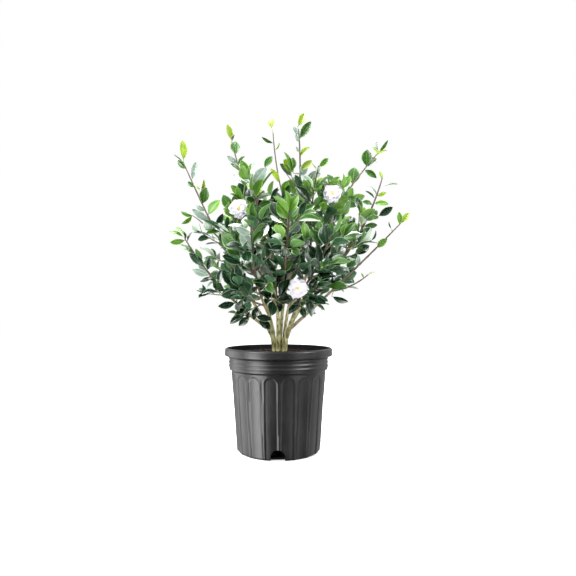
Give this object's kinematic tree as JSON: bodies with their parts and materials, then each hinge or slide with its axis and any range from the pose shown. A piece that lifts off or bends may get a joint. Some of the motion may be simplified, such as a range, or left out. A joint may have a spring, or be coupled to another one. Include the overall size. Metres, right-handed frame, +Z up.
{
  "type": "camellia shrub in nursery pot",
  "caption": "Young upright camellia shrub with glossy evergreen leaves and white semi-double blossom, in its round black fluted nursery pot of bark mix.",
  "frame": {"origin": "centre of the pot's flat underside, at the mount named base", "axes": "+Z up along the pot's axis and the shrub's height; +Y to the back; +X to the viewer's right as seen from the front (-Y)"},
  "size_m": [0.5101, 0.4561, 0.7226],
  "materials": {
    "pot_plastic": "satin",
    "bark_mix": "matte",
    "cane_bark": "matte",
    "bough_bark": "matte",
    "foliage": "satin"
  },
  "bodies": {
    "root": {"pot": "pot_plastic", "soil": "bark_mix", "trunk": "cane_bark", "cane_west": "cane_bark", "cane_left": "cane_bark", "cane_front": "cane_bark", "cane_centre": "cane_bark", "cane_rear": "cane_bark", "cane_right": "cane_bark", "bough_low_left": "bough_bark", "bough_upper_left": "bough_bark", "bough_tall_left": "bough_bark", "bough_inner_left": "bough_bark", "bough_middle_top": "bough_bark", "bough_high_right": "bough_bark", "bough_right": "bough_bark", "bough_far_right": "bough_bark", "bough_front_left": "bough_bark", "bough_front_centre": "bough_bark", "bough_front_right": "bough_bark", "bough_back_left": "bough_bark", "bough_back_centre": "bough_bark", "bough_back_right": "bough_bark", "bough_back_tall": "bough_bark", "foliage_low_left": "foliage", "foliage_upper_left": "foliage", "foliage_tall_left": "foliage", "foliage_inner_left": "foliage", "foliage_middle_top": "foliage", "foliage_centre_top": "foliage", "foliage_high_right": "foliage", "foliage_upper_right": "foliage", "foliage_right": "foliage", "foliage_far_right": "foliage", "foliage_low_right": "foliage", "foliage_left_front": "foliage", "foliage_right_front": "foliage", "foliage_front_left": "foliage", "foliage_front_centre": "foliage", "foliage_front_right": "foliage", "foliage_front_low": "foliage", "foliage_front_low_right": "foliage", "foliage_front_low_left": "foliage", "foliage_low_skirt_left": "foliage", "foliage_back_left": "foliage", "foliage_back_centre": "foliage", "foliage_back_right": "foliage", "foliage_back_tall": "foliage", "foliage_back_low_left": "foliage", "foliage_back_low_right": "foliage", "foliage_back_low": "foliage"}
  },
  "joints": []
}
